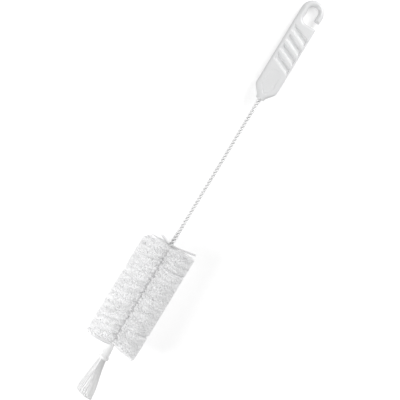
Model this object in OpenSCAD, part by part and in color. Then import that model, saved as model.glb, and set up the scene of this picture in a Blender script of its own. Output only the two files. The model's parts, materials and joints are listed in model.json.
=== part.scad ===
// Bottle brush: a twisted wire stem with a round bristle head, an end tuft in a
// ferrule, and a flat moulded handle with a hanging hook.
// The brush is drawn along the X axis, from the tuft's tip to the hook, and is then
// laid down as it comes to rest: on the rim of its head and the end of its handle.

/* [Wire] */
// Diameter of the steel wire, which is folded in two
wire_d = 1.7; // [1.4:0.05:2.1]
// Bare twisted length between the head and the handle
stem_len = 154; // [90:1:240]
// Advance of the stem in one full turn, in wire diameters
stem_lay = 4; // [3.8:0.1:6]
// Advance of the head in one full turn, in wire diameters
head_lay = 8.2; // [6:0.1:10]
// Free gap between the two twisted legs
leg_gap = 0.05; // [0.04:0.01:0.2]
// Length in which the legs close up behind the head
settle_len = 4; // [2:0.5:10]
// Length of wire held in the handle
wire_grip = 22; // [12:1:32]
// Bare wire between the ferrule and the head
bare_len = 2; // [1:0.5:6]

/* [Head] */
// Diameter over the bristle tips
head_d = 50; // [36:1:64]
// Length of the bristled core
head_len = 101.5; // [60:0.5:140]
// Thickness of the filament layer between the two legs
layer_t = 0.5; // [0.3:0.05:0.8]
// Clearance between the filament layer and the wire
layer_gap = 0.05; // [0.04:0.01:0.2]
// Advance along the core from one pair of clumps to the next
clump_step = 0.46; // [0.44:0.02:0.8]
// Width of a clump of filaments at its tip, as a share of the room that it has there
clump_fill = 0.7; // [0.3:0.05:0.9]
// How uneven the trimmed tips are
trim_uneven = 0.6; // [0:0.1:2]
// How far the rim reaches past the core, towards the tuft
rim_lean = 4.5; // [0:0.5:8]
// How far the last clumps stray towards the handle
stray_reach = 4.5; // [0:0.5:7]

/* [Ferrule] */
// Length of the ferrule
ferrule_len = 15.5; // [12:0.5:24]
// Diameter of its flange
flange_d = 10.2; // [9.6:0.1:14]
// Thickness of its flange
flange_t = 3; // [2:0.1:4]
// Diameter of its sleeve behind the flange
sleeve_d1 = 8.8; // [8:0.1:9.4]
// Diameter of its sleeve at the wire's end
sleeve_d2 = 7.2; // [6.4:0.1:8]
// Rounding of its edges
ferrule_round = 0.7; // [0.2:0.1:0.9]
// Lean of the ferrule and its tuft, sideways from the stem
tip_lean = 3; // [0:0.5:6]

/* [Tuft] */
// Longest reach of the tuft out of the ferrule
tuft_len = 38.3; // [20:0.1:60]
// Diameter of the bundle in the ferrule
tuft_d1 = 5.8; // [4.5:0.1:6.4]
// Diameter of the tuft where it is widest
tuft_d2 = 16; // [10:0.5:24]
// How unevenly its filaments end
tuft_uneven = 4.5; // [0:0.5:8]
// How much shorter the filaments of one side are
tuft_slant = 3.5; // [0:0.5:6]
// Depth of the bundle in the ferrule
tuft_depth = 5; // [4:0.5:6.5]
// Rings of filament clumps in the bundle
tuft_rings = 5; // [3:1:6]
// Width of a clump at its tip, as a share of the room that it has there
tuft_fill = 0.7; // [0.3:0.05:0.9]

/* [Handle] */
// Length of the handle with its hook
handle_len = 102; // [90:1:130]
// Width of the handle
handle_w = 22; // [19:0.5:28]
// Thickness of the handle
handle_t = 8; // [7:0.5:11]
// Rounding of the long edges
edge_r = 1.6; // [1:0.1:2.4]
// Diameter of the neck
neck_d = 8.6; // [7:0.1:10]
// Length of the collar on the neck
collar_len = 2.4; // [1:0.1:4]
// Bevel round the collar's mouth
collar_bevel = 0.4; // [0.1:0.1:0.9]
// Slope of the shoulders, from the stem's line
shoulder_slope = 40; // [30:1:55]
// Radius that rounds the shoulders into the sides
shoulder_r = 7; // [2:0.5:10]
// Clearance of the twisted wire in its bore
bore_gap = 0.05; // [0.02:0.01:0.2]

/* [Thumb dish] */
// Distance from the neck's end to the dish
dish_start = 7; // [5:0.5:12]
// Length of the dish
dish_len = 21.5; // [16:0.5:24]
// Width of the dish
dish_w = 12.5; // [9:0.5:15]
// Depth of the dish
dish_depth = 0.7; // [0.4:0.1:1]

/* [Grip grooves] */
// Number of grooves on each face
groove_count = 4; // [1:1:5]
// Distance from the neck's end to the first groove's steep wall, on the handle's middle line
groove_start = 40.2; // [36:0.1:44]
// Distance from one groove to the next, along the handle
groove_pitch = 10.2; // [8:0.1:11]
// Slant of the grooves, from square across the handle
groove_slant = 24; // [0:1:36]
// Width of a groove at its wide end
groove_w1 = 4.8; // [3:0.1:6]
// Width of a groove at its narrow end
groove_w2 = 3.8; // [2:0.1:5]
// Depth of a groove at its wide end, at the foot of its steep wall
groove_depth = 1.3; // [0.8:0.1:1.6]
// Draft of the steep wall, from square to the face
groove_draft = 18; // [5:1:30]
// Rounding of the corner where the floor meets the steep wall
groove_r = 0.6; // [0.3:0.1:1]
// Flat left between a groove's wide end and the rounded edge
groove_margin1 = 0.4; // [0.2:0.1:3]
// Flat left between a groove's narrow end and the rounded edge
groove_margin2 = 1.8; // [0.2:0.1:4]

/* [Hook] */
// Width of the hook's back
hook_back_w = 6.8; // [5:0.1:8]
// Width of the hook's bend
hook_bend_w = 5.8; // [4.5:0.1:7]
// Length of the slot in the hook
slot_len = 17.2; // [14:0.1:22]
// Width of the slot
slot_w = 9.4; // [7:0.1:11]
// Width of the hook's mouth
mouth_w = 5.5; // [5:0.1:7]
// Rounding of the slot's rims
rim_r = 1.2; // [0.5:0.1:1.8]

/* [Hidden] */

// Facets
wire_sides = 6;
stem_rings = 6;
head_rings = 6;
fold_rings = 6;
round_steps = 5;
shoulder_walls = 3;
$fn = 32;
dish_facets = 160;
// Overshoot of a cutter past the face it cuts
cut = 1;
// Ratios of an even scatter, one for each direction
golden = (sqrt(5) - 1) / 2;
silver = sqrt(2) - 1;

// Stations along the brush
x_ferrule = tuft_len;
x_sleeve_end = x_ferrule + ferrule_len;
x_head0 = x_sleeve_end + bare_len;
x_head1 = x_head0 + head_len;
x_neck = x_head1 + stem_len;
x_end = x_neck + handle_len;
x_wire_end = x_neck + wire_grip;
x_lean = x_sleeve_end + bare_len / 2;

// Twisted wire
wire_r = wire_d / 2;
stem_pitch = stem_lay * wire_d;
head_pitch = head_lay * wire_d;
// The legs are drawn in straight lengths from ring to ring, which clear each other in their middles
leg_r_stem = (wire_r + leg_gap / 2) / cos(180 / stem_rings);
leg_r_head = (wire_r + layer_t / 2 + layer_gap) / cos(180 / head_rings);
stem_r = leg_r_stem + wire_r;
core_r = leg_r_head + wire_r;
// The fold sits against the back of the tuft's bundle
x_fold = x_ferrule + tuft_depth + layer_gap + core_r;

// Head
head_r = head_d / 2;
layer_r = core_r + layer_gap;
clump_steps = round(head_len / clump_step);
stray_steps = 1;
// Length of the rim over the middles of its clumps, and the room of a clump's tip along and
// round it. The two rows of clumps of each edge of the layer share the lay between them
rim_len = (head_len + rim_lean) / (1 + head_pitch / (2 * head_len));
tip_room = rim_len * head_pitch / (4 * head_len);
tip_sector = 360 * head_len / (clump_steps * head_pitch);

// Handle
face_z = handle_t / 2;
side_y = handle_w / 2;
slot_r = slot_w / 2;
slot_y = side_y - hook_back_w - slot_r;
slot_x0 = handle_len - hook_bend_w - slot_len + slot_r;
slot_x1 = handle_len - hook_bend_w - slot_r;
mouth_x = slot_x0 - slot_r + mouth_w;

// Lay of the resting brush: a line under the head's rim and the handle's rounded end
rest_run = x_end - edge_r - x_head1;
rest_rise = head_r - (face_z - edge_r);
rest_tilt = acos(edge_r / norm([rest_run, rest_rise])) - atan2(rest_run, rest_rise);
rest_lift = x_head1 * sin(rest_tilt) + head_r * cos(rest_tilt);
rest_mid = ((x_end - edge_r) * cos(rest_tilt) + (face_z - edge_r) * sin(rest_tilt) + edge_r) / 2;

function unit(v) = v / norm(v);
function frac(v) = v - floor(v);
// Even scatter from -1 to 1 for item i of a row, which starts at a phase of its own
function scatter(i, ratio, phase = 0) = 2 * frac((i + 1) * ratio + phase) - 1;
// Points of a round corner from one angle to another
function arc(centre, r, from, to) =
    [for (i = [0:round_steps]) let (a = from + (to - from) * i / round_steps)
        centre + r * [cos(a), sin(a)]];
// Stations from one place to another, no further apart than step
function stations(from, to, step) =
    let (n = ceil((to - from) / step)) [for (i = [0:n]) from + (to - from) * i / n];

// Lays what is drawn along the X axis down as the brush rests
module at_rest() {
    translate([-rest_mid, 0, rest_lift]) rotate([0, rest_tilt, 0]) children();
}

// Turns what is drawn along the stem to the lean of the ferrule and tuft
module leaned() {
    translate([x_lean, 0, 0]) rotate([0, 0, tip_lean]) translate([-x_lean, 0, 0]) children();
}

// Turns a shape about Z into one about X, from station x
module along_x(x) {
    translate([x, 0, 0]) rotate([0, 90, 0]) children();
}

// ---- Wire ----

// Angle of the filament layer round the stem at station x; the legs are square to it
function twist(x) =
    360 * ((min(x, x_head1) - x_head1) / head_pitch + (max(x, x_head1) - x_head1) / stem_pitch);
// Distance of a leg's centre from the stem's line
function leg_r(x) =
    let (s = min(max((x - x_head1 - wire_r) / settle_len, 0), 1))
    leg_r_head + (leg_r_stem - leg_r_head) * s * s * (3 - 2 * s);
function outward(x, leg) = let (a = twist(x) + leg * 90) [0, cos(a), sin(a)];
function lean_vector(v) =
    [v[0] * cos(tip_lean) - v[1] * sin(tip_lean), v[0] * sin(tip_lean) + v[1] * cos(tip_lean), v[2]];
function lean_point(p) = p[0] < x_lean ? [x_lean, 0, 0] + lean_vector(p - [x_lean, 0, 0]) : p;
function lean_normal(x, v) = x < x_lean ? lean_vector(v) : v;

// The wire's way as [centre, outward] pairs: down one leg, round the fold, up the other
leg_stations = concat(
    stations(x_fold, x_head1, head_pitch / head_rings),
    [for (x = stations(x_head1, x_wire_end, stem_pitch / stem_rings)) if (x > x_head1) x]);
fold_steps = [for (i = [1:fold_rings - 1]) 180 * i / fold_rings];
wire_way = concat(
    [for (i = [len(leg_stations) - 1:-1:0]) leg_place(leg_stations[i], 1)],
    [for (a = fold_steps) let (n = cos(a) * outward(x_fold, 1) - sin(a) * [1, 0, 0])
        [lean_point([x_fold, 0, 0] + leg_r_head * n), lean_vector(n)]],
    [for (x = leg_stations) leg_place(x, -1)]);
function leg_place(x, leg) =
    [lean_point([x, 0, 0] + leg_r(x) * outward(x, leg)), lean_normal(x, outward(x, leg))];

function wire_along(i) =
    let (last = len(wire_way) - 1) unit(wire_way[min(i + 1, last)][0] - wire_way[max(i - 1, 0)][0]);
// What is left of a direction square to another
function square_to(v, along) = unit(v - (v * along) * along);
// One side direction for each ring, carried from ring to ring without a twist of its own
wire_outs = [for (i = 0, out = square_to(wire_way[0][1], wire_along(0)); i < len(wire_way);
    i = i + 1, out = square_to(out, wire_along(i))) out];

// A ring of the wire's section, square to its way
function wire_ring(i) =
    let (out = wire_outs[i], side = cross(wire_along(i), out))
    [for (k = [0:wire_sides - 1]) let (a = 360 * (k + 0.5) / wire_sides)
        wire_way[i][0] + wire_r * (cos(a) * out + sin(a) * side)];

module wire() {
    rings = len(wire_way);
    points = [for (i = [0:rings - 1]) each wire_ring(i)];
    walls = [for (i = [0:rings - 2], k = [0:wire_sides - 1])
        let (a = i * wire_sides + k, b = i * wire_sides + (k + 1) % wire_sides)
        each [[a, b + wire_sides, b], [a, a + wire_sides, b + wire_sides]]];
    first = [for (k = [0:wire_sides - 1]) k];
    last = [for (k = [wire_sides - 1:-1:0]) (rings - 1) * wire_sides + k];
    color("silver") at_rest() polyhedron(points, concat([first, last], walls));
}

// ---- Bristles ----

// A point of the twisted filament layer: row i, edge -1, 0 or 1 across it, face -1 or 1
function layer_x(i) = x_head0 + head_len * i / clump_steps;
function layer_point(i, edge, face) =
    let (a = twist(layer_x(i)), out = [0, cos(a), sin(a)], up = [0, -sin(a), cos(a)])
    [layer_x(i), 0, 0] + edge * layer_r * out + face * layer_t / 2 * up;
function layer_index(i, edge, face) = 6 * i + 2 * (edge + 1) + (face + 1) / 2;
// The two quarters of the layer's section at row i, turned one way or the other
function layer_end(i) = [for (e = [-1, 0])
    [layer_index(i, e, -1), layer_index(i, e + 1, -1), layer_index(i, e + 1, 1), layer_index(i, e, 1)]];

// A corner of a clump's tip: step i, edge -1 or 1, half 0 or 1 of the step, and the end of its
// room, back or forth round the head and along it. Neighbours keep their order from root to tip
function clump_tip(i, edge, half, round_way, along_way) =
    let (
        phase = (edge + 1 + half) / 4,
        corner = 4 * i + round_way + (along_way + 1) / 2,
        root = (i + 0.75 - 0.5 * half) / clump_steps,
        stray = i >= clump_steps - stray_steps ? stray_reach + tip_room / 2 : 0,
        loose = (1 - clump_fill) / 2,
        round_place = (clump_fill * round_way + loose * scatter(i, silver, phase)) / 2,
        along_place = half - 0.5 + (clump_fill * along_way + loose * scatter(i, golden, phase)) / 2,
        x = x_head0 - rim_lean + tip_room + root * rim_len + stray + edge * tip_room * along_place,
        r = head_r - trim_uneven * (1 + scatter(corner, golden, phase)) / 2,
        a = twist(x_head0 + head_len * root) + tip_sector * round_place
    )
    [x, edge * r * cos(a), edge * r * sin(a)];

// Sides and end of a clump that grows from triangle base to triangle tip
function clump_faces(base, tip) = concat([tip], [for (k = [0:2]) let (n = (k + 1) % 3)
    each [[base[k], base[n], tip[n]], [base[k], tip[n], tip[k]]]]);
function turned(faces, way) = way > 0 ? faces : [for (f = faces) [for (i = [len(f) - 1:-1:0]) f[i]]];

module bristles() {
    layer_points = [for (i = [0:clump_steps], edge = [-1, 0, 1], face = [-1, 1])
        layer_point(i, edge, face)];
    tip_points = [for (i = [0:clump_steps - 1], edge = [-1, 1])
        each [
            clump_tip(i, edge, 0, -1, 1), clump_tip(i, edge, 0, -1, -1), clump_tip(i, edge, 0, 1, -1),
            clump_tip(i, edge, 1, 1, -1), clump_tip(i, edge, 1, 1, 1), clump_tip(i, edge, 1, -1, 1)]];
    tips_from = len(layer_points);
    flats = [for (i = [0:clump_steps - 1], e = [-1, 0], face = [-1, 1])
        let (
            a = layer_index(i, e, face), b = layer_index(i, e + 1, face),
            c = layer_index(i + 1, e + 1, face), d = layer_index(i + 1, e, face)
        )
        each turned([[a, b, c], [a, c, d]], face)];
    clumps = [for (i = [0:clump_steps - 1], edge = [-1, 1])
        let (
            a = layer_index(i, edge, -1), b = layer_index(i, edge, 1),
            c = layer_index(i + 1, edge, 1), d = layer_index(i + 1, edge, -1),
            t = tips_from + 6 * (2 * i + (edge + 1) / 2)
        )
        each turned(concat(
            clump_faces([a, b, c], [t, t + 1, t + 2]),
            clump_faces([c, d, a], [t + 3, t + 4, t + 5])), -edge)];
    ends = concat(turned(layer_end(0), 1), turned(layer_end(clump_steps), -1));
    color("whitesmoke") at_rest()
        polyhedron(concat(layer_points, tip_points), concat(ends, flats, clumps));
}

// ---- Ferrule ----

module ferrule() {
    socket_r = tuft_d1 / 2 + layer_gap;
    bore_r = core_r + layer_gap;
    flange_r = flange_d / 2;
    soft = ferrule_round;
    outline = concat(
        [[socket_r, 0]],
        arc([flange_r - soft, soft], soft, -90, 0),
        arc([flange_r - soft, flange_t - soft], soft, 0, 90),
        [[sleeve_d1 / 2, flange_t]],
        arc([sleeve_d2 / 2 - soft, ferrule_len - soft], soft, 0, 90),
        [[bore_r, ferrule_len], [bore_r, tuft_depth + layer_gap], [socket_r, tuft_depth + layer_gap]]);
    color("white") at_rest() leaned() along_x(x_ferrule) rotate_extrude() polygon(outline);
}

// ---- Tuft ----

// Point k of ring j in the bundle's round section, as [y, z] in a unit circle
function bundle_point(j, k) = let (a = j == 0 ? 0 : 60 * k / j) j / tuft_rings * [cos(a), sin(a)];
function ring_from(j) = j == 0 ? 0 : 1 + 3 * j * (j - 1);
function bundle_index(j, k) = j == 0 ? 0 : ring_from(j) + k % (6 * j);
// The triangles between ring j - 1 and ring j, all turned the same way
function ring_triangles(j) = [for (s = [0:5], k = [0:j - 1]) each concat(
    [[bundle_index(j, s * j + k), bundle_index(j, s * j + k + 1), bundle_index(j - 1, s * (j - 1) + k)]],
    k == 0 ? [] :
    [[bundle_index(j, s * j + k), bundle_index(j - 1, s * (j - 1) + k),
        bundle_index(j - 1, s * (j - 1) + k - 1)]])];

// The corners of the tip of the clump over triangle number item with these corners. The tip
// lies within the corners' own spread, so that the clumps stay clear of each other
function tuft_tip(item, corners) =
    let (
        centre = (corners[0] + corners[1] + corners[2]) / 3,
        uneven = tuft_uneven * (1 + scatter(item, golden)) / 2,
        x = uneven + tuft_slant * (1 + centre[0]) / 2,
        spread = (tuft_d1 + (tuft_d2 - tuft_d1) * (x_ferrule - x) / x_ferrule) / 2
    )
    [for (c = corners) let (p = spread * (centre + tuft_fill * (c - centre))) [x, p[0], p[1]]];

module tuft() {
    section = [for (j = [0:tuft_rings], k = [0:max(6 * j - 1, 0)]) bundle_point(j, k)];
    root_r = tuft_d1 / 2;
    front = [for (p = section) [x_ferrule, root_r * p[0], root_r * p[1]]];
    rim = 6 * tuft_rings;
    rim_from = ring_from(tuft_rings);
    back_from = len(front);
    back = [for (k = [0:rim - 1]) front[rim_from + k] + [tuft_depth, 0, 0]];
    triangles = [for (j = [1:tuft_rings]) each ring_triangles(j)];
    tips_from = back_from + rim;
    tips = [for (i = [0:len(triangles) - 1]) each tuft_tip(i, [for (k = triangles[i]) section[k]])];
    clumps = [for (i = [0:len(triangles) - 1])
        each clump_faces(triangles[i], [tips_from + 3 * i, tips_from + 3 * i + 1, tips_from + 3 * i + 2])];
    wall = [for (k = [0:rim - 1])
        let (n = (k + 1) % rim, a = rim_from + k, b = rim_from + n, c = back_from + n, d = back_from + k)
        each [[a, c, b], [a, d, c]]];
    base = [for (k = [rim - 1:-1:0]) back_from + k];
    color("whitesmoke") at_rest() leaned()
        polyhedron(concat(front, back, tips), concat([base], wall, clumps));
}

// ---- Handle ----
// Drawn with its neck's end at the origin

// The grip's section on the +Y side of its middle, with rounded edges
module half_section() {
    translate([0, -face_z]) square([side_y - edge_r, handle_t]);
    translate([0, edge_r - face_z]) square([side_y, handle_t - 2 * edge_r]);
    for (z = [edge_r - face_z, face_z - edge_r]) translate([side_y - edge_r, z]) circle(r = edge_r);
}

module slab() {
    rotate([90, 0, 90]) linear_extrude(handle_len - side_y) {
        half_section();
        mirror([1, 0]) half_section();
    }
    translate([handle_len - side_y, 0, 0]) rotate([0, 0, -90]) rotate_extrude(angle = 180) half_section();
}

// What is cut off an edge to round it, by a radius: the edge is at the origin, with the
// body below it and to its right
module edge_cutter(r) {
    difference() {
        translate([-cut, -r]) square([r + cut, r + cut]);
        translate([r, -r]) circle(r = r);
    }
}

// All that lies past a wall and its two rounded edges, with the body to its left
module wall_cutter(reach) {
    translate([0, -face_z - cut]) square([reach, handle_t + 2 * cut]);
    for (side = [0, 1]) mirror([0, side]) translate([0, face_z]) mirror([1, 0]) edge_cutter(edge_r);
}

// Trims the slab's +Y side down to the neck, in short walls that turn into the side
module shoulder_cutter() {
    reach = norm([handle_w, handle_w]) + shoulder_r;
    corner_x = collar_len + (side_y - neck_d / 2) / tan(shoulder_slope);
    translate([corner_x + shoulder_r * tan(shoulder_slope / 2), side_y - shoulder_r, 0])
        for (k = [1:shoulder_walls]) rotate([0, 0, shoulder_slope * k / shoulder_walls])
            translate([-reach, shoulder_r, 0]) rotate([90, 0, 90])
                linear_extrude(2 * reach) wall_cutter(reach);
}

// Room for the collar, square to the stem
module neck_cutter() {
    translate([-cut, -side_y - cut, -face_z - cut])
        cube([collar_len + cut, handle_w + 2 * cut, handle_t + 2 * cut]);
}

module collar() {
    r = neck_d / 2;
    along_x(0) rotate_extrude() polygon([
        [0, 0], [r - collar_bevel, 0], [r, collar_bevel], [r, collar_len],
        [r / 2, collar_len + r / 2], [0, collar_len + r / 2]]);
}

// Radius of the arc that sinks in to a depth and shows a given width on the face
function arc_r(w, depth) = (w * w / 4 + depth * depth) / (2 * depth);

// A stretch of a ring that lies across the handle and dips into the top face
module thumb_dish() {
    long_r = arc_r(dish_len, dish_depth);
    cross_r = arc_r(dish_w, dish_depth);
    half_sweep = 2 * asin(dish_len / 2 / long_r);
    translate([dish_start + dish_len / 2, 0, face_z - dish_depth + long_r]) rotate([90, 0, 0])
        rotate([0, 0, -90 - half_sweep]) rotate_extrude(angle = 2 * half_sweep, $fn = dish_facets)
            translate([long_r - cross_r, 0]) circle(r = cross_r, $fn = dish_facets);
}

// Section across a groove's wide end: the top of its steep wall is at the origin, and its
// floor rises from the wall's foot to the face
module groove_section() {
    foot = [-groove_depth * tan(groove_draft), -groove_depth];
    floor_slope = atan2(groove_depth, groove_w1 + foot[0]);
    up_floor = [-cos(floor_slope), sin(floor_slope)];
    up_wall = [sin(groove_draft), cos(groove_draft)];
    half_corner = (90 - floor_slope + groove_draft) / 2;
    tangent = groove_r / tan(half_corner);
    top = groove_depth + cut;
    polygon([
        foot + tangent * up_floor, foot + tangent * up_wall,
        foot + top / cos(groove_draft) * up_wall, foot + top / sin(floor_slope) * up_floor]);
    translate(foot + groove_r / sin(half_corner) * unit(up_floor + up_wall)) circle(r = groove_r);
}

// The grooves of the top face, each a bar that rises towards its narrow end, between two
// end walls along the handle's sides
module grip_grooves() {
    flat_y = side_y - edge_r;
    y1 = groove_margin1 - flat_y;
    y2 = flat_y - groove_margin2;
    run = (y2 - y1) / cos(groove_slant);
    rise = groove_depth * (1 - groove_w2 / groove_w1);
    spare = groove_w1 * tan(groove_slant) + cut;
    difference() {
        for (i = [0:groove_count - 1])
            translate([groove_start + i * groove_pitch + y1 * tan(groove_slant), y1, face_z])
                rotate([0, 0, -groove_slant]) rotate([90 + atan2(rise, run), 0, 0])
                    translate([0, 0, -run - spare]) linear_extrude(run + 2 * spare) groove_section();
        for (side = [0, 1], y = side > 0 ? y2 : -y1) mirror([0, 1 - side, 0])
            translate([0, y, -face_z]) cube([handle_len, handle_w, 2 * handle_t]);
    }
}

// The slot in plan: a round-ended eye, and the mouth that opens it to the -Y side
module slot_plan() {
    for (x = [slot_x0, slot_x1]) translate([x, slot_y]) circle(r = slot_r);
    translate([slot_x0, slot_y - slot_r]) square([slot_x1 - slot_x0, slot_w]);
    translate([slot_x0 - slot_r, -side_y - cut]) square([mouth_w, side_y + cut + slot_y]);
}

// Rounds the top rim of the slot along a bend and along a straight wall
module bend_rim(from, sweep) {
    rotate([0, 0, from]) rotate_extrude(angle = sweep) translate([slot_r, 0]) edge_cutter(rim_r);
}
module straight_rim(run) {
    rotate([90, 0, 90]) linear_extrude(run) edge_cutter(rim_r);
}
module slot_rim() {
    translate([slot_x0, slot_y, 0]) bend_rim(90, 90);
    translate([slot_x0, slot_y + slot_r, 0]) straight_rim(slot_x1 - slot_x0);
    translate([slot_x1, slot_y, 0]) bend_rim(-90, 180);
    translate([mouth_x, slot_y - slot_r, 0]) mirror([0, 1, 0]) straight_rim(slot_x1 - mouth_x);
    translate([slot_x0 - slot_r, slot_y, 0]) rotate([0, 0, -90]) mirror([0, 1, 0])
        straight_rim(side_y + slot_y + cut);
}

module slot() {
    translate([0, 0, -face_z - cut]) linear_extrude(handle_t + 2 * cut) slot_plan();
    for (side = [0, 1]) mirror([0, 0, side]) translate([0, 0, face_z]) slot_rim();
}

module handle() {
    color("white") at_rest() translate([x_neck, 0, 0]) difference() {
        union() {
            difference() {
                slab();
                neck_cutter();
                for (side = [0, 1]) mirror([0, side, 0]) shoulder_cutter();
            }
            collar();
        }
        slot();
        for (side = [0, 1]) mirror([0, 0, side]) {
            thumb_dish();
            grip_grooves();
        }
        along_x(-cut) cylinder(r = stem_r + bore_gap, h = wire_grip + wire_r + bore_gap + cut);
    }
}

handle();
wire();
bristles();
ferrule();
tuft();
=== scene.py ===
import json
import math
from types import SimpleNamespace

import bpy
from mathutils import Matrix, Vector


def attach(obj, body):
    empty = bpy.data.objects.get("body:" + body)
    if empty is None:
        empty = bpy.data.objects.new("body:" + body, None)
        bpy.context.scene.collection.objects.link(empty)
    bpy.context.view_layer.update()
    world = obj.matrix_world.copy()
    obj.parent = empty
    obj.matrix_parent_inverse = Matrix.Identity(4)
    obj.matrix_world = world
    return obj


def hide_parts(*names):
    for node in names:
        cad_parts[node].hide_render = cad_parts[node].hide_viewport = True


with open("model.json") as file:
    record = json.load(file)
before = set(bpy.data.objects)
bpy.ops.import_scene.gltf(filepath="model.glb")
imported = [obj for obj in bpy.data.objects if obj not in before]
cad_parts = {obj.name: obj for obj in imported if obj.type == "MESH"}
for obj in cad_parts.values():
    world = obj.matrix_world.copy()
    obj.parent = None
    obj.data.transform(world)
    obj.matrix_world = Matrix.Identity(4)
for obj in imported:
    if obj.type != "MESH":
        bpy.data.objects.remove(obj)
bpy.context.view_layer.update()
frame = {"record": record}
print("frame loaded")

# Stations along the brush in millimetres, from the tuft's tip to the hook. Each piece is
# modelled on the X axis, as if the brush hung level, and is laid down at the end.
brush = dict(
    tuftRoot=38.3, sleeveEnd=53.8, headStart=55.8, headEnd=157.3, neck=311.3,
    hookBend=402.8, hookAside=-0.5, tipLean=3.0,
)
hook = frame["record"]["mounts"][0]
tilt = math.atan2(hook["axis"][0], hook["axis"][2])
layDown = (
    Matrix.Translation(hook["pos_m"]) @ Matrix.Rotation(tilt, 4, "Y") @ Matrix.Scale(0.001, 4)
    @ Matrix.Translation((-brush["hookBend"], -brush["hookAside"], 0))
)
degree = math.radians(1)

# The ferrule and its tuft lean sideways from the bare wire between ferrule and head
tipHinge = (brush["sleeveEnd"] + brush["headStart"]) / 2
leanTip = (
    Matrix.Translation((tipHinge, 0, 0)) @ Matrix.Rotation(brush["tipLean"] * degree, 4, "Z")
    @ Matrix.Translation((-tipHinge, 0, 0))
)


class Socket:  # a node's output, so that node maths reads as plain Python
    def __init__(self, graph, output):
        self.graph, self.output = graph, output

    def math(self, operation, *others):
        return self.graph.math(operation, self, *others)

    def twin(self, name):  # another output of the same node
        return Socket(self.graph, self.output.node.outputs[name])

    def __add__(self, other):
        return self.math("ADD", other)

    def __radd__(self, other):
        return self.math("ADD", other)

    def __sub__(self, other):
        return self.math("SUBTRACT", other)

    def __rsub__(self, other):
        return self.graph.math("SUBTRACT", other, self)

    def __mul__(self, other):
        return self.math("MULTIPLY", other)

    def __rmul__(self, other):
        return self.math("MULTIPLY", other)

    def __truediv__(self, other):
        return self.math("DIVIDE", other)

    def __rtruediv__(self, other):
        return self.graph.math("DIVIDE", other, self)

    def __pow__(self, other):
        return self.math("POWER", other)

    def __neg__(self):
        return self.math("MULTIPLY", -1)

    def __abs__(self):
        return self.math("ABSOLUTE")


class Graph:  # a node tree under construction
    def __init__(self, tree):
        self.tree = tree
        tree.nodes.clear()

    def make(self, kind, settings=None, sockets=None, out=0):
        node = self.tree.nodes.new(kind)
        for name, value in (settings or {}).items():
            setattr(node, name, value)
        self.feed(node, sockets or {})
        return Socket(self, node.outputs[out] if len(node.outputs) else None)

    def feed(self, node, sockets):
        for name, value in sockets.items():
            if isinstance(value, Socket):
                self.tree.links.new(value.output, node.inputs[name])
            else:
                node.inputs[name].default_value = value

    def math(self, operation, *values):
        return self.make("ShaderNodeMath", {"operation": operation}, dict(enumerate(values)))

    def vector(self, x, y, z):
        return self.make("ShaderNodeCombineXYZ", sockets={0: x, 1: y, 2: z})

    def random(self, item, seed, low=0.0, high=1.0):
        return self.make("FunctionNodeRandomValue", {"data_type": "FLOAT"},
                         {2: low, 3: high, 7: item, 8: seed}, out=1)


def addObject(name, data):
    holder = bpy.data.objects.new(name, data)
    bpy.context.scene.collection.objects.link(holder)
    return holder


def grow(name, sizes, build, material):  # runs a geometry tree once and keeps its mesh
    tree = bpy.data.node_groups.new(name, "GeometryNodeTree")
    graph = Graph(tree)
    for size, value in sizes.items():
        kind = "NodeSocketInt" if isinstance(value, int) else "NodeSocketFloat"
        tree.interface.new_socket(size, in_out="INPUT", socket_type=kind)
    tree.interface.new_socket("Geometry", in_out="OUTPUT", socket_type="NodeSocketGeometry")
    start = graph.make("NodeGroupInput")
    shape = build(graph, SimpleNamespace(**{size: start.twin(size) for size in sizes}))
    shape = graph.make("GeometryNodeRealizeInstances", sockets={0: shape})
    shape = graph.make("GeometryNodeSetMaterial", sockets={"Geometry": shape, "Material": material})
    graph.make("NodeGroupOutput", sockets={0: shape})

    holder = addObject(name, bpy.data.meshes.new(name))
    modifier = holder.modifiers.new("grow", "NODES")
    modifier.node_group = tree
    for item in tree.interface.items_tree:
        if item.in_out == "INPUT":
            modifier[item.identifier] = sizes[item.name]
    grown = holder.evaluated_get(bpy.context.evaluated_depsgraph_get())
    mesh = bpy.data.meshes.new_from_object(grown)
    holder.modifiers.remove(modifier)
    holder.data = mesh
    mesh.name = name
    return holder


def finishPiece(piece, slot, *replaced):  # lays a piece down with the brush, hangs it on the root body and hides the parts it replaces
    piece.data.transform(layDown)
    piece.data.update()
    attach(piece, "root")
    if replaced:
        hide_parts(*replaced)
    print(piece.name, len(piece.data.polygons), "faces")


def finish(name, look, build):  # build gives what else the shader's sockets take
    material = bpy.data.materials.new(name)
    material.use_nodes = True
    graph = Graph(material.node_tree)
    plain = {"Base Color": (*look["colour"], 1), "Roughness": look["roughness"]}
    shader = graph.make("ShaderNodeBsdfPrincipled", sockets=plain)
    graph.feed(shader.output.node, build(graph, look))
    graph.make("ShaderNodeOutputMaterial", sockets={"Surface": shader})
    return material


def grain(graph, scale, detail=3.0):  # noise in the object's own metres
    place = graph.make("ShaderNodeTexCoord", out="Object")
    return graph.make("ShaderNodeTexNoise", sockets={"Vector": place, "Scale": scale, "Detail": detail})


def shade(graph, factor, dark, light):
    return graph.make("ShaderNodeMix", {"data_type": "RGBA"},
                      {0: factor, 6: (*dark, 1), 7: (*light, 1)}, out=2)


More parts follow.
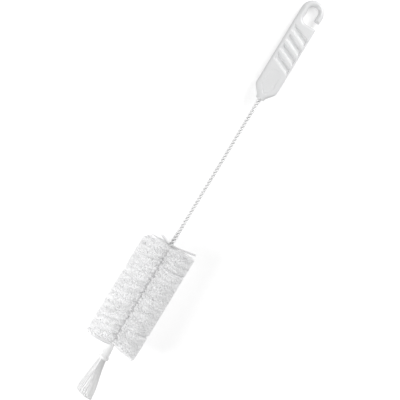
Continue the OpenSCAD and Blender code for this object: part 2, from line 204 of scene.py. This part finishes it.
# Finishes. A plain colour and roughness stand under what varies, for viewers that read no nodes.
handlePlastic = dict(
    colour=(0.78, 0.785, 0.79), dark=(0.76, 0.765, 0.77), light=(0.8, 0.802, 0.805), roughness=0.24,
    smoothest=0.2, uneven=0.1, cloudScale=70, grainScale=260, grainStrength=0.06, grainDepth=0.0004,
)
ferrulePlastic = dict(
    colour=(0.75, 0.75, 0.75), roughness=0.28, smoothest=0.24, uneven=0.1, cloudScale=300,
    glowColour=(0.93, 0.93, 0.93), glow=0.22, softWeight=0.5, softDepth=0.003,
)
steel = dict(
    colour=(0.7, 0.7, 0.7), dark=(0.75, 0.75, 0.75), light=(0.84, 0.84, 0.84), roughness=0.45,
    metallic=0.3, smoothest=0.36, uneven=0.16, spangleScale=900,
)
headFilament = dict(colour=(0.9, 0.9, 0.905), roughness=0.38, glow=0.3)
tuftFilament = dict(colour=(0.9, 0.9, 0.9), roughness=0.38, glow=0.16)


def mouldedLook(graph, look):  # glossy plastic with the faint cloud and grain of its mould
    cloud = grain(graph, look["cloudScale"])
    height = grain(graph, look["grainScale"])
    bump = {"Strength": look["grainStrength"], "Distance": look["grainDepth"], "Height": height}
    return {
        "Base Color": shade(graph, cloud, look["dark"], look["light"]),
        "Roughness": look["smoothest"] + cloud * look["uneven"],
        "Normal": graph.make("ShaderNodeBump", sockets=bump),
    }


def sleeveLook(graph, look):  # thin plastic: subsurface, and a painted glow that stands for the light passing through it
    return {
        "Roughness": look["smoothest"] + grain(graph, look["cloudScale"]) * look["uneven"],
        "Subsurface Weight": look["softWeight"],
        "Subsurface Radius": (1, 1, 1),
        "Subsurface Scale": look["softDepth"],
        "Emission Color": (*look["glowColour"], 1),
        "Emission Strength": look["glow"],
    }


def steelLook(graph, look):  # dull zinc with its spangle
    spangle = grain(graph, look["spangleScale"])
    return {
        "Base Color": shade(graph, spangle, look["dark"], look["light"]),
        "Roughness": look["smoothest"] + spangle * look["uneven"],
        "Metallic": look["metallic"],
    }


def filamentLook(graph, look):  # the glow stands for light that clear filaments carry inwards
    tone = graph.make("ShaderNodeAttribute", {"attribute_name": "tone"}, out="Fac")
    tinted = shade(graph, tone, (0, 0, 0), look["colour"])
    return {"Base Color": tinted, "Emission Color": tinted, "Emission Strength": look["glow"]}


finishes = dict(
    handle=finish("handlePlastic", handlePlastic, mouldedLook),
    ferrule=finish("ferrulePlastic", ferrulePlastic, sleeveLook),
    wire=finish("steel", steel, steelLook),
    head=finish("headFilament", headFilament, filamentLook),
    tuft=finish("tuftFilament", tuftFilament, filamentLook),
)
print("finishes made")


def strands(graph, count, rows):  # copies of one line, with each copy's number and the way along it
    line = graph.make("GeometryNodeCurvePrimitiveLine", sockets={"Start": (0, 0, 0), "End": (1, 0, 0)})
    line = graph.make("GeometryNodeResampleCurve", sockets={"Curve": line, "Count": rows + 1})
    lines = graph.make("GeometryNodeDuplicateElements", {"domain": "SPLINE"},
                       {"Geometry": line, "Amount": count})
    t = graph.make("GeometryNodeSplineParameter", out="Factor")
    return lines, lines.twin("Duplicate Index"), t


def sweep(graph, lines, place, thickness, sides, tone=None):  # a rod along each line
    if tone is not None:  # stored first, because the way along a line changes once it is bent
        lines = graph.make("GeometryNodeStoreNamedAttribute", {"data_type": "FLOAT", "domain": "POINT"},
                           {"Geometry": lines, "Name": "tone", "Value": tone})
    path = graph.make("GeometryNodeSetPosition", sockets={"Geometry": lines, "Position": place})
    path = graph.make("GeometryNodeSetCurveRadius", sockets={"Curve": path, "Radius": thickness})
    section = graph.make("GeometryNodeCurvePrimitiveCircle", {"mode": "RADIUS"},
                         {"Resolution": sides, "Radius": 1})
    mesh = graph.make("GeometryNodeCurveToMesh",
                      sockets={"Curve": path, "Profile Curve": section, "Fill Caps": True})
    return graph.make("GeometryNodeSetShadeSmooth", sockets={"Geometry": mesh})


# Twisted wire: two legs of one folded wire. Its pitch is the way that one full turn takes.
wire = dict(
    wireRadius=1.0, gap=0.05, layer=0.5, headPitch=13.94, stemPitch=6.8, settle=4.0,
    start=47.0, end=333.0, lean=brush["tipLean"], rings=1500, sides=14,
)


def twistAngle(x, headEnd, headPitch, stemPitch):
    inHead = x.math("MINIMUM", headEnd) - headEnd
    inStem = x.math("MAXIMUM", headEnd) - headEnd
    return (inHead / headPitch + inStem / stemPitch) * math.tau


def leaned(x, y, lean):  # turns the tuft's end of the wire sideways, as leanTip does
    back = (tipHinge - x).math("MAXIMUM", 0)
    sine, cosine = (lean * degree).math("SINE"), (lean * degree).math("COSINE")
    return x + back * (1 - cosine) - y * sine * back.math("GREATER_THAN", 0), y - back * sine


def wireTree(graph, s):
    lines, leg, t = strands(graph, 2, s.rings)
    headEnd = brush["headEnd"]
    x = s.start + (s.end - s.start) * t
    angle = twistAngle(x, headEnd, s.headPitch, s.stemPitch) + math.pi / 2 + leg * math.pi
    share = ((x - headEnd - s.wireRadius) / s.settle).math("MAXIMUM", 0).math("MINIMUM", 1)
    closing = share * share * (3 - 2 * share)  # from the filament layer's width to leg on leg
    inHead = s.wireRadius + s.layer / 2 + s.gap
    inStem = s.wireRadius + s.gap / 2
    reach = inHead + (inStem - inHead) * closing
    placeX, placeY = leaned(x, reach * angle.math("COSINE"), s.lean)
    place = graph.vector(placeX, placeY, reach * angle.math("SINE"))
    return sweep(graph, lines, place, s.wireRadius, s.sides)


finishPiece(grow("twistedWire", wire, wireTree, finishes["wire"]), "steel_wire", "wire")

# Head of bristles. Filaments leave the layer between the wire's legs and fan out round it.
headParts = dict(number=4, firstCount=4600, firstEase=12.0, seedStep=20)  # the first starts off thinner
head = dict(
    count=6000, rows=5, sides=3, clump=1, begin=0.0, ease=0.01, firstSide=0, sideStep=1,
    length=(brush["headEnd"] - brush["headStart"]) / headParts["number"],
    radius=25.3, coreRadius=0.3, trim=1.0, thinUneven=0.6,  # how far out the tips are
    fan=1.3, fanSkew=1.6, angleJitter=0.05,  # and how far round
    spreadAlong=3.4, tipJitter=0.2, stray=0.0, startRoom=2.5, endRoom=0.8,  # and how far along
    rimLean=5.0, rimFlat=0.2, rimReach=2.8,
    bow=1.2, bowSkew=0.8, wave=0.15, waveCount=5.0, turnCount=4.0,  # way from root to tip
    thickness=0.028, rootTaper=0.85, taper=0.4,
    parting=0.14, partWidth=0.26, partAside=-0.03, partLeast=0.3, partSwell=1.4,
    # painted shade along the core and at the roots, and painted light on the rim near the tuft
    midShade=0.12, midWidth=0.32, midLeast=0.5, rimTone=0.14, rimLength=14.0,  # tones
    rootShade=0.4, rootLength=0.3, toneJitter=0.06,
    streak=0.4, streakAlong=0.6, streakAround=1.2, streakSkew=0.7, streakBend=3.0, streakDetail=2.0,
    seed=3,
)
# Gaps in the round of tips, where the filaments are shorter on one side
thinPlaces = [
    dict(station=138.3, side=-1, width=1.5, depth=3.2), dict(station=75.5, side=-1, width=2.0, depth=2.6),
    dict(station=57.0, side=1, width=1.6, depth=3.4), dict(station=115.9, side=1, width=1.2, depth=1.6),
    dict(station=158.5, side=1, width=7.5, depth=6.5),
]


def headTree(graph, s):
    lines, item, t = strands(graph, s.count, s.rows)
    headStart, headEnd = brush["headStart"], brush["headEnd"]
    bundle = (item / s.clump).math("FLOOR")

    def pick(number, low=-1.0, high=1.0):  # one draw for a whole clump
        return graph.random(bundle, s.seed + number, low, high)

    def own(number, low=-1.0, high=1.0):  # one draw for each filament
        return graph.random(item, s.seed + number, low, high)

    # where a filament leaves the wire, and at which angle
    place = (s.length - s.ease / 2) * (item + own(0, 0)) / s.count
    thin = (place * 2 / s.ease).math("MINIMUM", 1).math("SQRT")
    root = headStart + s.begin + s.ease * thin + (place - s.ease / 2).math("MAXIMUM", 0)
    share = (root - headStart) / (headEnd - headStart)
    side = (bundle * s.sideStep + s.firstSide).math("MODULO", 2)
    layer = twistAngle(root, headEnd, wire["headPitch"], wire["stemPitch"]) + side * math.pi
    angle = layer + pick(1) * s.fan + own(11) * s.angleJitter

    # the parting along the core, widest where the layer lies level
    aside = angle.math("COSINE") - s.partAside
    sideways = layer.math("COSINE") ** 2
    near = (1 - abs(aside) / s.partWidth).math("MAXIMUM", 0) * (s.partLeast + s.partSwell * sideways)
    angle = angle - s.parting * near * aside.math("SIGN") * angle.math("SINE").math("SIGN")
    level = angle.math("COSINE") ** 2

    # where its tip is: the rim at the tuft's end reaches past the core, on the level sides most
    tip = root - s.rimLean * (1 - share) * (s.rimFlat + level) + s.stray
    tip = tip + (pick(2) + pick(3)) * s.spreadAlong / 2 + own(12) * s.tipJitter
    tip = tip.math("MINIMUM", headEnd - s.endRoom + s.stray)
    least = headStart + s.startRoom + s.startRoom * pick(4, 0) - (s.rimLean + s.rimReach) * level
    tip = tip.math("MAXIMUM", least)
    reach = s.radius - s.trim * own(5, 0)
    for gap in thinPlaces:
        near = 1 - (abs(tip - gap["station"]) / gap["width"]).math("MINIMUM", 1) ** 2
        facing = (angle.math("COSINE") * gap["side"]).math("MAXIMUM", 0)
        reach = reach - gap["depth"] * near * facing * own(6, s.thinUneven)

    # its way from root to tip, bowed and slightly wavy
    phase = pick(7, 0, math.tau)
    ripple = (t * pick(8, s.waveCount, s.waveCount * 2) + phase).math("SINE") * t * s.wave
    x = root + (tip - root) * t - s.bow * (t ** s.bowSkew * math.pi).math("SINE") + ripple
    turn = (t * pick(9, s.turnCount, s.turnCount * 2) + phase * 2).math("SINE") * t * s.wave / reach
    now = layer + (angle - layer) * t ** s.fanSkew + turn
    out = s.coreRadius + (reach - s.coreRadius) * t
    place = graph.vector(x, out * now.math("COSINE"), out * now.math("SINE"))

    # its tone: streaks, painted shade at the roots and along the core, painted light on the rim near the tuft
    bent = tip * s.streakAlong + abs(aside) ** s.streakSkew * s.streakBend
    spot = graph.vector(bent, aside * s.streakAround, angle.math("SINE") * s.streakAround)
    patch = graph.make("ShaderNodeTexNoise", sockets={"Vector": spot, "Scale": 1.0, "Detail": s.streakDetail})
    middle = (1 - abs(aside) / s.midWidth).math("MAXIMUM", 0) * (s.midLeast + sideways)
    rimLit = (1 - (tip - headStart + s.rimLean) / s.rimLength).math("MAXIMUM", 0)
    inner = (1 - t / s.rootLength).math("MAXIMUM", 0)
    tone = (1 - s.midShade * middle) * (1 + s.rimTone * rimLit) * (1 - s.rootShade * inner)
    tone = tone * (1 - s.streak * patch - s.toneJitter * own(10, 0))
    return sweep(graph, lines, place, s.thickness * (s.rootTaper + s.taper * t), s.sides, tone)


for number in range(headParts["number"]):
    sizes = dict(head, begin=number * head["length"], seed=head["seed"] + headParts["seedStep"] * number)
    replaced = []
    if number == 0:
        sizes.update(ease=headParts["firstEase"], count=headParts["firstCount"])
        replaced = ["bristles"]
    piece = grow(f"headBristles{number + 1}", sizes, headTree, finishes["head"])
    finishPiece(piece, "head_filament", *replaced)

# Two clumps at the head's end stray towards the handle, a thick one and a thin one
strayRoot = 0.4
lastBit = dict(
    head, begin=brush["headEnd"] - brush["headStart"] - strayRoot, length=strayRoot, sideStep=0,
    rimLean=0.0, spreadAlong=0.6, fan=0.05, bow=0.2, parting=0.0,
)
strays = dict(
    thickStray=dict(lastBit, count=60, clump=60, firstSide=1, stray=5.0, radius=24.6, seed=71),
    thinStray=dict(lastBit, count=12, clump=12, firstSide=0, stray=4.6, radius=17.0, fan=0.0, seed=90),
)
for name, sizes in strays.items():
    finishPiece(grow(name, sizes, headTree, finishes["head"]), "head_filament")


# Ferrule: a turned sleeve with a flange, a pocket for the tuft's bundle and a hole for the wire
ferrule = dict(
    length=15.5, bore=3.0, pocket=5.1, wireBore=2.1, flangeRadius=5.1, flangeLength=3.0, neckRadius=4.4,
    neckFillet=0.2, filletLength=0.25, endRadius=3.7, soft=0.7, cornerSteps=6, steps=72,
)


def corner(x, radius, soft, start, stop):  # an arc of (x, radius) points
    steps = ferrule["cornerSteps"]
    angles = [math.radians(start + (stop - start) * i / steps) for i in range(steps + 1)]
    return [(x + soft * math.cos(angle), radius + soft * math.sin(angle)) for angle in angles]


def sleeveOutline(f):
    soft, neckStart = f["soft"], f["flangeLength"]
    return (
        [(0, f["bore"])]
        + corner(soft, f["flangeRadius"] - soft, soft, 180, 90)
        + corner(f["flangeLength"] - soft, f["flangeRadius"] - soft, soft, 90, 0)
        + [(neckStart, f["neckRadius"] + f["neckFillet"]), (neckStart + f["filletLength"], f["neckRadius"])]
        + corner(f["length"] - soft, f["endRadius"] - soft, soft, 90, 0)
        + [(f["length"], f["wireBore"]), (f["pocket"], f["wireBore"]), (f["pocket"], f["bore"])]
    )


def lathe(name, outline, steps, material):  # a closed ring of (x, radius) points turned about the X axis
    count = len(outline)
    points = [(x, r * math.cos(math.tau * s / steps), r * math.sin(math.tau * s / steps))
              for s in range(steps) for x, r in outline]
    faces = [(s * count + i, s * count + (i + 1) % count,
              (s + 1) % steps * count + (i + 1) % count, (s + 1) % steps * count + i)
             for s in range(steps) for i in range(count)]
    mesh = bpy.data.meshes.new(name)
    mesh.from_pydata(points, [], faces)
    mesh.materials.append(material)
    mesh.shade_smooth()
    return addObject(name, mesh)


sleeve = lathe("ferruleSleeve", sleeveOutline(ferrule), ferrule["steps"], finishes["ferrule"])
sleeve.data.transform(leanTip @ Matrix.Translation((brush["tuftRoot"], 0, 0)))
finishPiece(sleeve, "ferrule_plastic", "ferrule")


# Tuft: its filaments fill the bundle evenly, each turned a golden angle on from the last
tuft = dict(
    count=1000, rows=6, sides=3, thickness=0.16, turn=2.39996, rootRadius=2.8, tipRadius=7.9, flare=1.15,
    length=38.0, depth=4.0, uneven=5.0, unevenSkew=1.5, slant=3.5,
    wave=0.5, waveAside=7.0, waveUp=5.0, toneJitter=0.14, seed=11,
)


def tuftTree(graph, s):
    lines, item, t = strands(graph, s.count, s.rows)
    spot = ((item + 0.5) / s.count).math("SQRT")
    angle = item * s.turn
    short = s.uneven * graph.random(item, s.seed) ** s.unevenSkew
    end = short + s.slant * (1 + spot * angle.math("COSINE")) / 2
    whole = s.length + s.depth
    x = brush["tuftRoot"] + s.depth - (whole - end) * t
    free = ((t * whole - s.depth) / s.length).math("MAXIMUM", 0)
    reach = spot * (s.rootRadius + (s.tipRadius - s.rootRadius) * free ** s.flare)
    phase = graph.random(item, s.seed + 1, 0, math.tau)
    ripple = (t * s.waveAside + phase).math("SINE") * free * s.wave
    side = (t * s.waveUp + phase * 2).math("SINE") * free * s.wave
    place = graph.vector(x, reach * angle.math("COSINE") + ripple, reach * angle.math("SINE") + side)
    tone = 1 - s.toneJitter * graph.random(item, s.seed + 2)
    return sweep(graph, lines, place, s.thickness, s.sides, tone)


tuftPiece = grow("endTuft", tuft, tuftTree, finishes["tuft"])
tuftPiece.data.transform(leanTip)
finishPiece(tuftPiece, "tuft_filament", "tuft")


# Handle, as distances to its surface, which are below zero inside. Angles are in degrees. Up
# counts from the nearer of its two faces, which are alike.
handle = dict(
    length=102.0, width=22.0, thickness=8.0, edge=2.9, eyeEdge=1.0, hookFrom=78.0, hookRun=8.0, hookEdge=3.95,
    shoulderSlope=40.0, shoulderRound=7.0, neckRadius=4.3, collar=2.4, collarLength=6.0, collarEdge=0.5,
    collarFillet=1.0, bore=2.1, boreDepth=22.9, boreEdge=0.15,
    slotLength=17.2, slotWidth=9.4, slotFillet=0.3, mouthWidth=5.5, backWidth=6.8, bendWidth=5.8,
    dishStart=8.0, dishEnd=30.0, dishInset=5.2, dishDepth=0.8, dishEndRound=5.0, dishRound=0.5, dishEdge=0.4,
    cell=0.3, room=1.2, outside=-5.0,  # the grid that the mesh is made from
)
groove = dict(
    grooveStart=40.9, groovePitch=9.95, grooveSlant=24.0, grooveWidth=6.1, grooveDepth=1.4, floorRise=-8.0,
    wallDraft=24.0, farDraft=36.0, grooveRound=0.6, crestRound=0.4,
    endLow=-9.6, endHigh=8.4, lowRamp=0.4, highRamp=1.4, endRound=0.5,
)
grooveCount = 4  # each groove has its own nodes, so this is no input of the tree


def roundMost(a, b, radius):  # where two solids meet, with the edge rounded
    over = (radius + a).math("MAXIMUM", 0) ** 2 + (radius + b).math("MAXIMUM", 0) ** 2
    return a.math("MAXIMUM", b).math("MINIMUM", -radius) + over.math("SQRT")


def roundLeast(a, b, radius):  # two solids joined, with the corner filled
    return -roundMost(-a, -b, radius)


def turned(angle):
    return (angle * degree).math("COSINE"), (angle * degree).math("SINE")


def handleOutline(s, x, y):  # straight sides, round at the hook, slanted shoulders at the neck
    side = s.width / 2
    past = (x - (s.length - side)).math("MAXIMUM", 0)
    outline = (past ** 2 + y ** 2).math("SQRT") - side
    cosine, sine = turned(s.shoulderSlope)
    shoulder = (abs(y) - s.neckRadius) * cosine - (x - s.collar) * sine
    tangent = s.shoulderRound * (s.shoulderSlope * degree / 2).math("TANGENT")
    cornerX = s.collar + (side - s.neckRadius) * cosine / sine + tangent
    p, q = x - cornerX, abs(y) - (side - s.shoulderRound)
    inCorner = p.math("LESS_THAN", 0) * (p * cosine + q * sine).math("GREATER_THAN", 0)
    outline = outline.math("MAXIMUM", shoulder)
    return outline + ((p ** 2 + q ** 2).math("SQRT") - s.shoulderRound - outline) * inCorner


def hookSlot(s, x, y):  # the eye that the peg sits in, and the mouth that it comes in by
    radius = s.slotWidth / 2
    middle = s.width / 2 - s.backWidth - radius
    end = s.length - s.bendWidth - radius
    start = end - (s.slotLength - 2 * radius)
    along = abs(x - (start + end) / 2) - (end - start) / 2
    eye = (along.math("MAXIMUM", 0) ** 2 + (y - middle) ** 2).math("SQRT") - radius
    mouth = abs(x - (start - radius + s.mouthWidth / 2)) - s.mouthWidth / 2
    return roundLeast(eye, mouth.math("MAXIMUM", y - middle), s.slotFillet)


def thumbDish(s, outline, x, up):  # follows the shoulders and runs out towards the grooves
    hollow = roundMost(outline + s.dishInset, x - s.dishEnd, s.dishEndRound)
    deep = s.dishDepth * (s.dishEnd - x) / (s.dishEnd - s.dishStart)
    return roundMost(hollow, -deep - up, s.dishRound)


def gripGroove(s, number, x, y, up):  # steep near wall, a floor that falls to it, gentle far wall
    cosine, sine = turned(s.grooveSlant)
    across = (x - (s.grooveStart + number * s.groovePitch)) * cosine - y * sine
    beyond = across + s.grooveWidth
    cosine, sine = turned(s.wallDraft)
    near = across * cosine - up * sine
    cosine, sine = turned(s.farDraft)
    far = -beyond * cosine - up * sine
    cosine, sine = turned(s.floorRise)
    floor = beyond * sine - (up + s.grooveDepth) * cosine
    cut = roundMost(near, roundMost(far, floor, s.grooveRound), s.grooveRound)
    ends = (y - s.endHigh - up * s.highRamp).math("MAXIMUM", s.endLow - y - up * s.lowRamp)
    return roundMost(cut, ends, s.endRound)


def handleTree(graph, s):
    place = graph.make("ShaderNodeSeparateXYZ", sockets={0: graph.make("GeometryNodeInputPosition")})
    x, y, z = (place.twin(axis) for axis in "XYZ")
    side, face = s.width / 2, s.thickness / 2
    up = abs(z) - face
    outline = handleOutline(s, x, y)
    hooked = ((x - s.hookFrom) / s.hookRun).math("MAXIMUM", 0).math("MINIMUM", 1)
    shape = roundMost(outline, -hookSlot(s, x, y), s.eyeEdge)
    shape = roundMost(shape, up, s.edge + hooked * (s.hookEdge - s.edge))

    # collar round the wire, and the wire's bore
    axis = (y ** 2 + z ** 2).math("SQRT")
    collar = roundMost(axis - s.neckRadius, abs(x - s.collarLength / 2) - s.collarLength / 2, s.collarEdge)
    shape = roundLeast(shape, collar, s.collarFillet)
    bore = (axis - s.bore).math("MAXIMUM", x - s.boreDepth)
    shape = roundMost(shape, -bore, s.boreEdge)

    shape = roundMost(shape, -thumbDish(s, outline, x, up), s.dishEdge)
    for number in range(grooveCount):
        shape = roundMost(shape, -gripGroove(s, number, x, y, up), s.crestRound)

    # the box of cells in which the distances become a mesh
    low = graph.vector(-s.room, -side - s.room, -face - s.room)
    top = graph.vector(s.length + s.room, side + s.room, face + s.room)
    spans = {"X": s.length, "Y": s.width, "Z": s.thickness}
    cells = {f"Resolution {axis}": (span + 2 * s.room) / s.cell for axis, span in spans.items()}
    cube = graph.make("GeometryNodeVolumeCube",
                      sockets={"Density": -shape, "Background": s.outside, "Min": low, "Max": top, **cells})
    mesh = graph.make("GeometryNodeVolumeToMesh", {"resolution_mode": "GRID"},
                      {"Volume": cube, "Threshold": 0.0})
    return graph.make("GeometryNodeSetShadeSmooth", sockets={"Geometry": mesh})


handlePiece = grow("mouldedHandle", dict(handle, **groove), handleTree, finishes["handle"])
handlePiece.data.transform(Matrix.Translation((brush["neck"], 0, 0)))
finishPiece(handlePiece, "handle_plastic", "handle")


# The camera looks square on the brush and is turned, so that the brush leans. Pixels are in mm.
view = dict(
    pixel=0.9, picture=400, lean=58.69, aimAlong=205.8, aimAside=-1.3, distance=1100.0, sensor=36.0,
    nearest=0.05, furthest=20.0,
)


def addCamera(v):
    camera = bpy.data.cameras.new("camera")
    camera.sensor_width = v["sensor"]
    camera.lens = v["sensor"] * v["distance"] / (v["pixel"] * v["picture"])
    camera.clip_start, camera.clip_end = v["nearest"], v["furthest"]
    lean = v["lean"] * degree
    right = Vector((math.cos(lean), -math.sin(lean), 0))
    up = Vector((math.sin(lean), math.cos(lean), 0))
    square = Matrix((right, up, Vector((0, 0, 1)))).transposed().to_4x4()
    turn = Matrix.Rotation(tilt, 4, "Y") @ square
    aim = layDown @ Vector((v["aimAlong"], v["aimAside"], 0))
    back = turn.to_3x3() @ Vector((0, 0, v["distance"] / 1000))
    holder = addObject("camera", camera)
    holder.matrix_world = Matrix.Translation(aim + back) @ turn
    bpy.context.scene.camera = holder


# Soft round lamps, in metres and watts, all turned to the middle of the brush
lamps = dict(
    right=dict(size=0.45, power=3.05, along=0.6, aside=-0.23, height=0.34),
    left=dict(size=0.35, power=1.75, along=-0.25, aside=0.34, height=0.38),
    tail=dict(size=0.4, power=0.5, along=-0.4, aside=-0.42, height=0.42),
)
lampAim = Vector((0, 0, 0.02))
world = dict(strength=0.28, colour=(1.0, 1.0, 1.0))
paper = dict(reach=3.0, grey=0.75, glow=0.5)


def addLamp(name, size, power, along, aside, height):
    lamp = bpy.data.lights.new(name, "AREA")
    lamp.shape, lamp.size, lamp.energy = "DISK", size, power
    holder = addObject(name, lamp)
    holder.location = (along, aside, height)
    holder.rotation_euler = (lampAim - holder.location).to_track_quat("-Z", "Y").to_euler()


def seenDirectly(graph):  # 1 for the camera, and for what is mirrored or seen through clear pieces
    camera = graph.make("ShaderNodeLightPath", out="Is Camera Ray")
    glossy = camera.math("MAXIMUM", camera.twin("Is Glossy Ray"))
    return glossy.math("MAXIMUM", camera.twin("Is Transmission Ray"))


def addWorld(w):  # soft light all round, and plain white behind everything
    sky = bpy.data.worlds.new("studio")
    sky.use_nodes = True
    graph = Graph(sky.node_tree)
    colour = (*w["colour"], 1)
    light = graph.make("ShaderNodeBackground", sockets={"Color": colour, "Strength": w["strength"]})
    plain = graph.make("ShaderNodeBackground", sockets={"Color": (1, 1, 1, 1), "Strength": 1.0})
    mixed = graph.make("ShaderNodeMixShader", sockets={0: seenDirectly(graph), 1: light, 2: plain})
    graph.make("ShaderNodeOutputWorld", sockets={"Surface": mixed})
    bpy.context.scene.world = sky


def addFloor(p):  # pale paper, brightened only where it is seen, so that it keeps the brush's shadow
    reach, grey = p["reach"], p["grey"]
    mesh = bpy.data.meshes.new("floor")
    corners = [(-reach, -reach, 0), (reach, -reach, 0), (reach, reach, 0), (-reach, reach, 0)]
    mesh.from_pydata(corners, [], [(0, 1, 2, 3)])
    material = bpy.data.materials.new("floor")
    material.use_nodes = True
    graph = Graph(material.node_tree)
    dull = graph.make("ShaderNodeBsdfDiffuse", sockets={"Color": (grey, grey, grey, 1)})
    seen = seenDirectly(graph) * p["glow"]
    glow = graph.make("ShaderNodeEmission", sockets={"Color": (1, 1, 1, 1), "Strength": seen})
    both = graph.make("ShaderNodeAddShader", sockets={0: dull, 1: glow})
    graph.make("ShaderNodeOutputMaterial", sockets={"Surface": both})
    mesh.materials.append(material)
    floor = addObject("floor", mesh)


addCamera(view)
for name, sizes in lamps.items():
    addLamp(name, **sizes)
addWorld(world)
addFloor(paper)
bpy.context.scene.view_settings.view_transform = "Standard"
print("camera, lamps and floor set")
